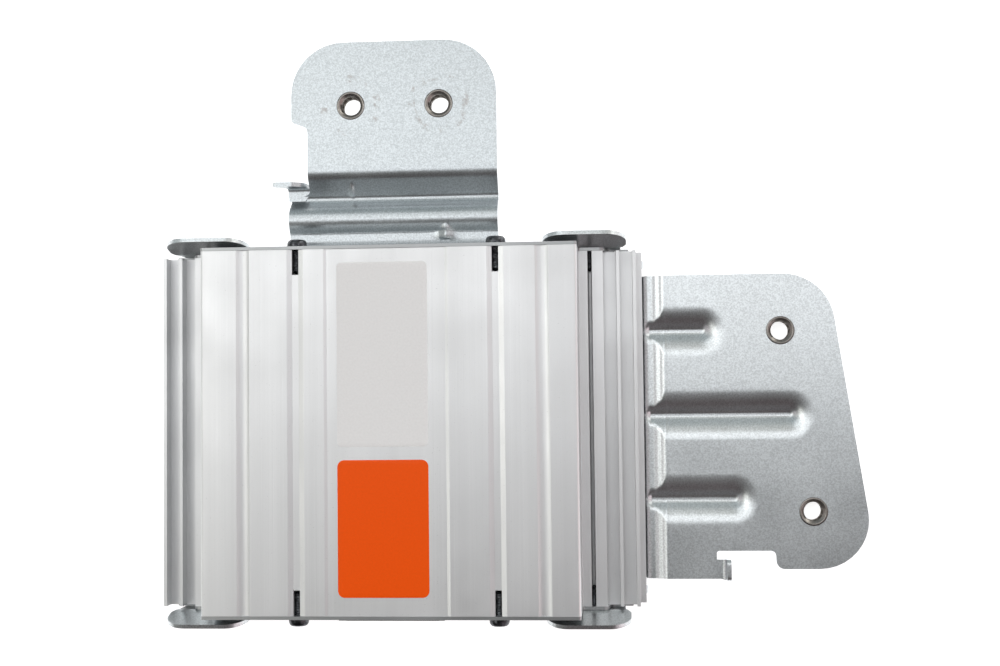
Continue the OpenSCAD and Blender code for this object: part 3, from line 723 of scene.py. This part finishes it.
class INVERTER_OT_bracket_rivets(bpy.types.Operator):
    """Make the domed rivets that hold the top bracket's flange"""
    bl_idname = "inverter.bracket_rivets"
    bl_label = "Bracket rivets"

    def execute(self, context):
        drawn = finish_named("aluminium_drawn_rivet", mill_finish_aluminium, "#d4d5d6",
            0.02, 0.34)
        low, high = corners_of("bracket_rivets")
        r = 4.0
        form = bmesh.new()
        for x in (low.x + r, (low.x + high.x) / 2, high.x - r):
            place = seat(x, high.y, (low.z + high.z) / 2, -90)
            depth = low.y - high.y
            rings = turned(form, [(2.6, depth), (3.0, depth + 0.3), (3.0, depth + 1.3),
                (2.0, depth + 1.4), (2.0, -1.1), (r - 0.1, -1.1), (r, -1.0), (r - 0.2, -0.7),
                (r - 1.0, -0.25), (2.4, -0.04), (1.3, 0.0), (1.1, -0.2), (1.1, -0.9)],
                place, 40)
            close_ring(form, rings[0], True)
            close_ring(form, rings[-1])
        link_piece("bracket_rivets_domed", done(form, "bracket_rivets"), drawn,
            slot_of("bracket_rivets"), "bracket_rivets")
        return {"FINISHED"}


# ---- Base cradle ----

RIM_X = HALF_W + 0.1 + CRADLE_T      # outer face of the rim beside the extrusion
JOGGLE_X = HALF_W + 3.0              # where the small step up to the side arm starts
JOGGLE_L = 5.0
JOGGLE_H = 1.6
ARM_HALF = 56.0                      # half the side arm's width along Y
ARM_END = HALF_W + 82.0
TRAY_LEFT = -HALF_W + 5
TRAY_RIGHT = HALF_W - 2              # where the blank widens from the tray to the arm
TRAY_Y = PLATE_Y - 4                 # half the tray's length
BEADS = ((35.3, 121.9), (4.1, 153.6), (-26.9, 132.9))   # middle along Y, end along X
# The bead's side slope at distances from its middle: a narrow crease with a small ledge
# beside it, then a flank that eases out into the flat sheet.
BEAD_SLOPES = ((0.0, 0.0), (0.55, 0.05), (0.8, 0.42), (1.1, 0.25), (1.5, 0.80), (2.3, 0.78),
    (3.8, 0.50), (6.0, 0.22), (9.4, 0.0))
BEAD_HALF = BEAD_SLOPES[-1][0]


def smooth_step(value, low, high):
    """Rises smoothly from 0 at low to 1 at high."""
    k = max(0.0, min(1.0, (value - low) / (high - low)))
    return k * k * (3 - 2 * k)


def soft_min(a, b, k):
    """The smaller of two heights, blended over k where they cross."""
    h = max(0.0, k - abs(a - b)) / k
    return min(a, b) - h * h * k / 4


def bead_depths():
    """The bead's depth at each distance of BEAD_SLOPES."""
    depths = [0.0]
    for (near_d, near_s), (far_d, far_s) in zip(BEAD_SLOPES[-2::-1], BEAD_SLOPES[::-1]):
        depths.insert(0, depths[0] + (far_d - near_d) * (far_s + near_s) / 2)
    return depths


BEAD_DEPTHS = bead_depths()


def bead_depth(x, y):
    """How deep the three pressed beads lie at a point."""
    deepest = 0.0
    for middle, end in BEADS:
        d = math.hypot(max(0.0, x - (end - BEAD_HALF)), y - middle)
        if d < BEAD_HALF:
            i = next(k for k, (reach, _) in enumerate(BEAD_SLOPES) if reach > d)
            (near_d, near_s), (far_d, far_s) = BEAD_SLOPES[i - 1], BEAD_SLOPES[i]
            slope = far_s + (near_s - far_s) * (far_d - d) / (far_d - near_d)
            deepest = max(deepest, BEAD_DEPTHS[i] + (far_d - d) * (far_s + slope) / 2)
    return deepest


def arm_lift(x, y):
    """How far the side arm's pressing lies above the level of the rim at a point."""
    k = (x - JOGGLE_X) / JOGGLE_L
    step = JOGGLE_H * (smooth_step(k, 0.0, 0.56) + smooth_step(k, 0.46, 0.96)) / 2
    lip = 0.08 * smooth_step(k, 0.84, 1.0) * (1 - smooth_step(k, 1.02, 1.16))
    blend = 0.6 * (1 - step / JOGGLE_H) + 0.001
    return soft_min(step, JOGGLE_H - bead_depth(x, y), blend) + lip


def cradle_section():
    """The cradle's section along X: tray, rim beside the extrusion, and side arm."""
    low = ARM_Z - JOGGLE_H
    return BentPath([(TRAY_LEFT, 0, 0), (RIM_X, 0, 0), (RIM_X, low, 0.4),
        (ARM_END + 2, low, 0)], CRADLE_T)


def cradle_outline(at):
    """The cradle's blank: the tray and the side arm with its notch. at turns a place along
    X into a distance along the blank."""
    lean = math.tan(math.radians(9))
    tip = -ARM_HALF * 0.62
    notch_x = HALF_W + 25.8
    notch_y = -ARM_HALF + 10.2
    low = -ARM_HALF + 3.5
    tab_x, tab_y = HALF_W + 0.7, TRAY_Y - 3
    points = [(TRAY_LEFT, -TRAY_Y, 0), (tab_x, -TRAY_Y, 0.3), (tab_x, -tab_y, 0.3),
        (TRAY_RIGHT, -tab_y, 0.5), (TRAY_RIGHT, -ARM_HALF, 0), (notch_x, -ARM_HALF, 0),
        (notch_x, notch_y, 1), (notch_x + 21.5, notch_y, 2), (notch_x + 21.8, low, 3),
        (ARM_END + (tip - low) * lean, low, 18),
        (ARM_END - (ARM_HALF - tip) * lean, ARM_HALF, 19), (TRAY_RIGHT, ARM_HALF, 0),
        (TRAY_RIGHT, tab_y, 0.5), (tab_x, tab_y, 0.3), (tab_x, TRAY_Y, 0.3),
        (TRAY_LEFT, TRAY_Y, 0)]
    return rounded([(at(x), y, r) for x, y, r in points])


def cradle_cuts(section, at):
    """Where the blank is cut into cells: finely at the bends, the step and the beads."""
    bend, flat = at(TRAY_RIGHT), at(JOGGLE_X - 0.6)
    step_end = at(JOGGLE_X + JOGGLE_L + 1)
    along = steps_between(0, bend, 12) + [bend] + steps_between(bend, flat, 0.3)
    along += [flat] + steps_between(flat, step_end, 0.2) + [step_end]
    along += steps_between(step_end, section.length, 1.3)
    crease = 1.4
    offsets = steps_between(0, crease, crease / 8) + [crease]
    offsets += steps_between(crease, BEAD_HALF, (BEAD_HALF - crease) / 12) + [BEAD_HALF]
    for _, end in BEADS:
        along += steps_between(at(end - BEAD_HALF), at(end), 0.45)
    across = [middle + side * d for middle, _ in BEADS for d in offsets for side in (-1, 1)]
    across += [middle for middle, _ in BEADS] + steps_between(-TRAY_Y, TRAY_Y, 2.5)
    return sorted(along), sorted(across)


def add_ear(form, side_x, side_y):
    """One flared corner ear, mirrored to the corner that side_x and side_y name."""
    ear_h, flare_z, flare, width = 28.5, 15.0, 3.4, 30.5
    port_x = 71.6
    middle = port_x - 1.8
    start_y = PLATE_Y - 4
    path = BentPath([(start_y, 0, 0), (EAR_Y, 0, PLATE_T), (EAR_Y, flare_z, 6),
        (EAR_Y + flare, ear_h, 0)], CRADLE_T)
    left, right = middle - width / 2, middle + width / 2
    root, flank = path.where(1, flare_z - 2), path.where(1, flare_z + 2)
    outline = rounded([(left + 4, 0, 0), (right - 2, 0, 0), (right - 2, root, 3),
        (right, flank, 3), (right, path.length, 8), (left, path.length, 8),
        (left, flank, 2.5), (left + 4, root, 2.5)])
    hole = circle(port_x, path.where(1, 11.1), 1.9, 28)

    def place(u, v):
        return [(side_x * u, side_y * y, z) for y, z in path.at(v)]

    pressed_sheet(form, outline, [hole], steps_between(left, right, 2.5),
        steps_between(0, path.length, 0.8), place)


def add_arm_hook(form):
    """The small tab that is bent up beside the arm's notch."""
    hook_x = HALF_W + 30.7
    path = BentPath([(HALF_W + 25.8, ARM_Z, 0), (hook_x, ARM_Z, 1.5),
        (hook_x, ARM_Z + 6.5, 0)], CRADLE_T)
    outline = rounded([(0, -ARM_HALF, 0), (1.5, -ARM_HALF, 0), (3.0, -ARM_HALF - 0.4, 1),
        (path.length, -ARM_HALF - 0.4, 1.6), (path.length, -ARM_HALF + 7.4, 1.6),
        (3.0, -ARM_HALF + 7.0, 1), (0, -ARM_HALF + 7.0, 0)])

    def place(u, v):
        return [(x, v, z) for x, z in path.at(u)]

    pressed_sheet(form, outline, [], steps_between(0, path.length, 0.5),
        steps_between(-ARM_HALF, -ARM_HALF + 7, 1.2), place)


class INVERTER_OT_base_cradle(bpy.types.Operator):
    """Press the base cradle: tray, joggle, beaded side arm, hook tab and four ears"""
    bl_idname = "inverter.base_cradle"
    bl_label = "Base cradle"

    def execute(self, context):
        look = context.scene.inverter_metal
        zinc = finish_named("steel_zinc_plated_cradle", zinc_plated_steel,
            hex_of(look.zinc), look.zinc_roughness)
        section = cradle_section()
        rim_top = section.where(1, ARM_Z - JOGGLE_H - 0.4)

        def at(x):
            return section.where(0, x)

        def place(s, y):
            near, away = section.at(s)
            lift = arm_lift(near[0], y) * smooth_step(s, rim_top, rim_top + 1) \
                if s > rim_top else 0.0
            return [(x, y, z + lift) for x, z in (near, away)]

        holes = [circle(at(x), y, NUT_HOLE_R) for x, y, z in nut_centres("side_arm_nuts")]
        form = bmesh.new()
        pressed_sheet(form, cradle_outline(at), holes, *cradle_cuts(section, at), place)
        for side_x in (-1, 1):
            for side_y in (-1, 1):
                add_ear(form, side_x, side_y)
        add_arm_hook(form)
        link_pressing(form, "base_cradle", zinc)
        return {"FINISHED"}


# ---- Top bracket ----

GUSSETS = ((19.5, 67.6, 75.2, 1.9, 0.55), (-15.7, 85.6, 91.2, 0.9, 0.8))


def gusset_lift(x, y):
    """How far the two small stiffening darts stand above the bracket at a point. Each is
    (middle x, first y, last y, height, side slope)."""
    lift = 0.0
    for middle, first, last, height, slope in GUSSETS:
        if first < y < last:
            ridge = height * math.sin(math.pi * (y - first) / (last - first)) ** 0.8
            lift = max(lift, ridge - slope * abs(x - middle))
    return lift


def bracket_path():
    """The bracket's section: flange, crest, valley and pad."""
    face = PLATE_Y + BRACKET_T
    seat = PAD_Z - 1.9
    pad_end = corners_of("top_bracket")[1].y
    return BentPath([(face, seat - 15, 0), (face, seat, 1.5), (PLATE_Y + 7, seat, 1.5),
        (PLATE_Y + 11.9, seat + 4.6, 4.3), (PLATE_Y + 18.6, PAD_Z - 6.8, 2),
        (PLATE_Y + 28.0, PAD_Z, 4), (pad_end, PAD_Z, 0)], BRACKET_T)


class INVERTER_OT_top_bracket(bpy.types.Operator):
    """Press the top bracket: flange, folds, pad, darts and hook tab"""
    bl_idname = "inverter.top_bracket"
    bl_label = "Top bracket"

    def execute(self, context):
        look = context.scene.inverter_metal
        nuts = nut_centres("bracket_nuts")
        zinc = finish_named("steel_zinc_plated_bracket", zinc_plated_steel,
            hex_of(look.bracket_zinc), look.zinc_roughness, nuts)
        path = bracket_path()
        half = 38.5
        neck_low = path.where(0, PLATE_Y + 21.5)
        neck_high = path.where(0, PLATE_Y + 46.5)
        end = path.length
        outline = rounded([(-half, 0, 3), (half, 0, 3), (half, end, 19.5),
            (-half + 1, end, 19.5), (-half + 1, neck_high + 1, 1.5),
            (-half + 7, neck_high - 1, 2.5), (-half + 7, neck_low + 1, 2),
            (-half, neck_low - 2, 1)])
        holes = [circle(x, path.where(0, y), NUT_HOLE_R) for x, y, z in nuts]

        def place(u, v):
            near, away = path.at(v)
            lift = gusset_lift(u, away[0]) if v > 16 else 0.0
            return [(u, y, z + lift) for y, z in (near, away)]

        fold_end = path.where(0, PLATE_Y + 32)
        form = bmesh.new()
        cuts_x = sorted(steps_between(-half, half, 2.2) + [m + d for m, *_ in GUSSETS
            for d in (-2.4, -1.8, -1.2, -0.6, -0.2, 0.2, 0.6, 1.2, 1.8, 2.4)])
        cuts_v = steps_between(0, fold_end, 0.5) + steps_between(fold_end, end, 2.2)
        pressed_sheet(form, outline, holes, cuts_x, cuts_v, place)
        self.add_hook(form, half)
        link_pressing(form, "top_bracket", zinc)
        return {"FINISHED"}

    def add_hook(self, form, half):
        """The tab that is bent up at the bracket's left edge, beside the neck."""
        tab_y = PLATE_Y + 23.8
        valley = PAD_Z - 5
        path = BentPath([(tab_y - 5, valley, 0), (tab_y + BRACKET_T, valley, 1.5),
            (tab_y + BRACKET_T, valley + 7, 0)], BRACKET_T)
        top = path.length
        outline = rounded([(-half - 1, 0, 0), (-half + 5, 0, 0), (-half + 8, 4, 1),
            (-half + 4, top - 2, 2), (-half + 1, top, 1), (-half - 6, top, 0.8),
            (-half - 6, top - 2.5, 0.8), (-half - 1.5, top - 5.5, 2)])

        def place(u, v):
            return [(u, y, z) for y, z in path.at(v)]

        pressed_sheet(form, outline, [], steps_between(-half - 6, -half + 8, 0.7),
            steps_between(0, top, 0.4), place)


# ---- Stickers ----

class INVERTER_OT_stickers(bpy.types.Operator):
    """Lay the two blank stickers on the roof panel"""
    bl_idname = "inverter.stickers"
    bl_label = "Stickers"

    def execute(self, context):
        look = context.scene.inverter_stickers
        for node, colour, gloss, corner in (("white_sticker", look.light, 0.42, 2.0),
                ("orange_sticker", look.orange, 0.34, 2.5)):
            self.lay(node, finish_named(node + "_polyester_film", label_film,
                hex_of(colour), gloss), corner)
        return {"FINISHED"}

    def lay(self, node, film, corner):
        """A thin film whose edge is pressed down all round and crowned a little inside."""
        low, high = corners_of(node)
        outline = rounded([(low.x, low.y, corner), (high.x, low.y, corner),
            (high.x, high.y, corner), (low.x, high.y, corner)])
        rng = random.Random(7)
        waves = [(rng.uniform(0.05, 0.14), rng.uniform(0.03, 0.08), rng.uniform(0, 6.3))
            for _ in range(3)]

        def place(u, v):
            inset = min(u - low.x, high.x - u, v - low.y, high.y - v)
            thick = 0.11 * smooth_step(inset, -0.1, 0.5) + 0.02
            ripple = 0.008 * sum(math.sin(a * u + b * v + c) for a, b, c in waves)
            return (u, v, low.z + 0.001), (u, v, low.z + thick + ripple
                * smooth_step(inset, 0.5, 3))

        form = bmesh.new()
        pressed_sheet(form, outline, [], steps_between(low.x, high.x, 0.9),
            steps_between(low.y, high.y, 0.9), place)
        link_piece(node + "_film", done(form, node, 60), film, slot_of(node), node)


# ---- Board and what stands on it ----

# Finishes of the moulded, dipped and ground pieces: name, colour, roughness, grain in mm.
FERRITE = ("ferrite_ground", "#2b2c2e", 0.55, 0.3)
NYLON = ("nylon_moulded_black", "#151515", 0.5, 0.4)
SLEEVE = ("pet_sleeve_dark_blue", "#151b33", 0.3, 2.0)
EPOXY = ("epoxy_moulded_black", "#18181a", 0.5, 0.3)
MOULDED = {
    "circuit_board": ("glass_epoxy_solder_mask", "#0f4a26", 0.35, 0.8),
    "transformer_core": FERRITE,
    "choke_core": FERRITE,
    "transformer_bobbin": NYLON,
    "input_capacitors": SLEEVE,
    "high_voltage_capacitor": SLEEVE,
    "film_capacitors": ("polypropylene_case_yellow", "#c9b24b", 0.38, 0.6),
    "input_transistors": EPOXY,
    "bridge_transistors": EPOXY,
    "control_chips": EPOXY,
    "insulating_pads": ("silicone_filled_grey", "#9da1a5", 0.7, 0.3),
    "fuse_holder": NYLON,
    "blade_fuse": ("polycarbonate_amber", "#c98420", 0.2, 1.5),
    "varistor": ("epoxy_dipped_blue", "#1f4f9e", 0.3, 1.0),
}


class INVERTER_OT_inner_parts(bpy.types.Operator):
    """Finish the board and the parts inside the housing"""
    bl_idname = "inverter.inner_parts"
    bl_label = "Inner parts"

    def execute(self, context):
        copper = finish_named("copper_enamelled_wire", enamelled_copper)
        tin = finish_named("brass_tin_plated", plated_contact, "#d6d4cc")
        zinc = finish_named("steel_zinc_plated_bar", zinc_plated_steel, "#c9cdce", 0.32)
        oxide = finish_named("steel_black_oxide_screw", black_oxide_steel)
        for node, (name, *values) in MOULDED.items():
            finished_copy(node, finish_named(name, moulded_plastic, *values), 0.12)
        for node in ("transformer_winding", "choke_winding"):
            finished_copy(node, copper, 0.4)
        finished_copy("clamp_bars", zinc, 0.2)
        finished_copy("clamp_screws", oxide, 0.15)
        finished_copy("connector_terminals", tin, 0.1)
        return {"FINISHED"}


class INVERTER_OT_connector(bpy.types.Operator):
    """Finish the moulded connector header"""
    bl_idname = "inverter.connector"
    bl_label = "Connector header"

    def execute(self, context):
        finished_copy("connector_header", finish_named("pbt_moulded_black",
            moulded_plastic, "#19191b", 0.48, 0.35), 0.25)
        return {"FINISHED"}


# ---- Stage ----

# The camera stands above the roof and leans a little.
CAMERA_DISTANCE = 0.500              # to the roof, in metres
CAMERA_LEAN = (0.0430, 0.0781, 0.0112)      # about X, Y and Z, in radians
CAMERA_LENS = 50.99                  # in millimetres
CAMERA_AIM = (0.03967, 0.03467)      # where its axis meets the roof, in its own leaned axes


def camera_turn():
    """The camera's turn in the row's axes."""
    pitch, yaw, roll = CAMERA_LEAN
    return Matrix.Rotation(yaw, 3, "Y") @ Matrix.Rotation(pitch, 3, "X") \
        @ Matrix.Rotation(-roll, 3, "Z")


class INVERTER_OT_stage(bpy.types.Operator):
    """Set the pale floor, the soft studio lights and the camera"""
    bl_idname = "inverter.stage"
    bl_label = "Stage"

    def execute(self, context):
        self.set_camera(context.scene)
        self.set_floor()
        self.set_world(context.scene)
        studio = context.scene.inverter_studio
        self.add_light("key_softbox", (-0.05, 0.245, 1.35), (-0.05, 0.245, 0.0), (2.0, 0.50),
            studio.key_power, "#fcfdff")
        self.add_light("back_softbox", (-0.50, 0.98, 1.35), (-0.50, 0.98, 0.0), (1.0, 0.8),
            studio.back_power, "#fcfdff")
        self.add_light("left_fill", (-1.08, -0.10, 1.38), (0.0, 0.0, 0.0), (1.3, 0.62),
            studio.fill_power, "#fffdf6")
        context.scene.view_settings.view_transform = "Standard"
        return {"FINISHED"}

    def set_camera(self, scene):
        """A full-frame camera nearly straight above the roof."""
        turn = camera_turn()
        data = bpy.data.cameras.new("studio_camera")
        data.lens = CAMERA_LENS
        data.sensor_width = 36
        data.clip_start = 0.01
        camera = bpy.data.objects.new("studio_camera", data)
        at = turn @ Vector((*CAMERA_AIM, CAMERA_DISTANCE)) + Vector((0, 0, ROOF_Z * MM))
        camera.matrix_world = Matrix.Translation(at) @ turn.to_4x4()
        scene.collection.objects.link(camera)
        scene.camera = camera

    def set_floor(self):
        """White backdrop paper a little below the part, glowing so that it stays white."""
        form = bmesh.new()
        bmesh.ops.create_grid(form, x_segments=8, y_segments=8, size=4.0)
        mesh = bpy.data.meshes.new("floor")
        form.to_mesh(mesh)
        form.free()
        floor = bpy.data.objects.new("floor", mesh)
        floor.location.z = -0.3 * MM
        bpy.context.scene.collection.objects.link(floor)
        paper, tree, shader, place = new_material("paper_backdrop_white")
        fibre = ramp(tree, noise(tree, place, 2, 3.0), (0.3, grey(0.90)), (0.7, grey(0.92)))
        feed(tree, shader, {"Base Color": fibre, "Roughness": 0.9, "Specular IOR Level": 0.1,
            "Emission Color": grey(1.0), "Emission Strength": 0.75})
        mesh.materials.append(paper)

    def set_world(self, scene):
        """A studio room: dim in front, paler behind, with a lit wall at the right."""
        world = bpy.data.worlds.new("studio_room")
        world.use_nodes = True
        tree = world.node_tree
        tree.nodes.clear()
        studio = scene.inverter_studio
        direction = add(tree, "ShaderNodeTexCoord").outputs["Generated"]
        side = add(tree, "ShaderNodeVectorMath", {0: direction, 1: (-0.5, 0.87, 0.0)},
            operation="DOT_PRODUCT")
        walls = ramp(tree, spread(tree, side.outputs["Value"], 0.0, 1.0, -1.0, 1.0),
            (0.04, linear("#6f6a6b")), (0.16, linear("#5a4f50")), (0.34, linear("#605d5d")),
            (0.50, linear("#605f5e")), (0.70, linear("#d6d5d0")), (0.93, linear("#b0b9bb")))
        across = add(tree, "ShaderNodeSeparateXYZ", {"Vector": direction})
        glow = spread(tree, across.outputs["X"], studio.room_strength, studio.wall_strength,
            0.46, 0.76)
        back = add(tree, "ShaderNodeBackground", {"Color": walls, "Strength": glow})
        add(tree, "ShaderNodeOutputWorld", {"Surface": back.outputs["Background"]})
        scene.world = world

    def add_light(self, name, at, aim, size, power, colour):
        """A rectangular softbox at a place in metres, aimed at another."""
        data = bpy.data.lights.new(name, "AREA")
        data.shape = "RECTANGLE"
        data.size, data.size_y = size
        data.energy = power
        data.color = linear(colour)[:3]
        light = bpy.data.objects.new(name, data)
        light.location = at
        light.rotation_euler = (Vector(aim) - Vector(at)).to_track_quat("-Z", "Y").to_euler()
        bpy.context.scene.collection.objects.link(light)


# ---- Properties, panel and running ----

def colour_setting(name, code):
    """A colour property, kept as sRGB."""
    return FloatVectorProperty(name=name, description=name + " colour, sRGB",
        default=srgb(code), subtype="COLOR_GAMMA", size=3, min=0, max=1)


def share_setting(name, description, value):
    """A property between 0 and 1."""
    return FloatProperty(name=name, description=description, default=value,
        subtype="FACTOR", min=0, max=1)


def power_setting(name, watts):
    """A softbox's power in watts."""
    return FloatProperty(name=name, description=name + " in watts", default=watts,
        unit="POWER", min=0)


class InverterMetal(bpy.types.PropertyGroup):
    aluminium: colour_setting("Extrusion", "#dadbdc")
    plate: colour_setting("End plate", "#d2d4d6")
    zinc: colour_setting("Cradle zinc", "#e4e9eb")
    bracket_zinc: colour_setting("Bracket zinc", "#cbd1d4")
    aluminium_roughness: share_setting("Extrusion roughness", "How dull the extrusion is", 0.44)
    zinc_roughness: share_setting("Zinc roughness", "How dull the zinc plate is", 0.29)


class InverterStickers(bpy.types.PropertyGroup):
    light: colour_setting("Light sticker", "#f2f2f2")
    orange: colour_setting("Orange sticker", "#ff5a04")


class InverterStudio(bpy.types.PropertyGroup):
    key_power: power_setting("Softbox power", 4.9)
    back_power: power_setting("Back power", 2.4)
    fill_power: power_setting("Fill power", 3.0)
    room_strength: FloatProperty(name="Room light",
        description="Brightness of the room in front, behind and overhead", default=1.0, min=0)
    wall_strength: FloatProperty(name="Wall light",
        description="Brightness of the lit wall at the right", default=9.0, min=0)


PIECES = (INVERTER_OT_stage, INVERTER_OT_housing, INVERTER_OT_end_plates,
    INVERTER_OT_end_screws, INVERTER_OT_base_cradle, INVERTER_OT_top_bracket,
    INVERTER_OT_clinch_nuts, INVERTER_OT_bracket_rivets, INVERTER_OT_stickers,
    INVERTER_OT_inner_parts, INVERTER_OT_connector)


class INVERTER_PT_build(bpy.types.Panel):
    """Lists the settings and the operators in the sidebar"""
    bl_idname = "INVERTER_PT_build"
    bl_label = "Power inverter"
    bl_space_type = "VIEW_3D"
    bl_region_type = "UI"
    bl_category = "Inverter"

    def draw(self, context):
        for group in (context.scene.inverter_metal, context.scene.inverter_stickers,
                context.scene.inverter_studio):
            for name in group.__annotations__:
                self.layout.prop(group, name)
        for piece in PIECES:
            self.layout.operator(piece.bl_idname)


GROUPS = {"inverter_metal": InverterMetal, "inverter_stickers": InverterStickers,
    "inverter_studio": InverterStudio}


def register():
    for name, group in GROUPS.items():
        bpy.utils.register_class(group)
        setattr(bpy.types.Scene, name, PointerProperty(type=group))
    for piece in PIECES:
        bpy.utils.register_class(piece)
    bpy.utils.register_class(INVERTER_PT_build)


def unregister():
    bpy.utils.unregister_class(INVERTER_PT_build)
    for piece in reversed(PIECES):
        bpy.utils.unregister_class(piece)
    for name, group in GROUPS.items():
        delattr(bpy.types.Scene, name)
        bpy.utils.unregister_class(group)


def main():
    register()
    for piece in PIECES:
        family, name = piece.bl_idname.split(".")
        getattr(getattr(bpy.ops, family), name)()


if __name__ == "__main__":
    main()
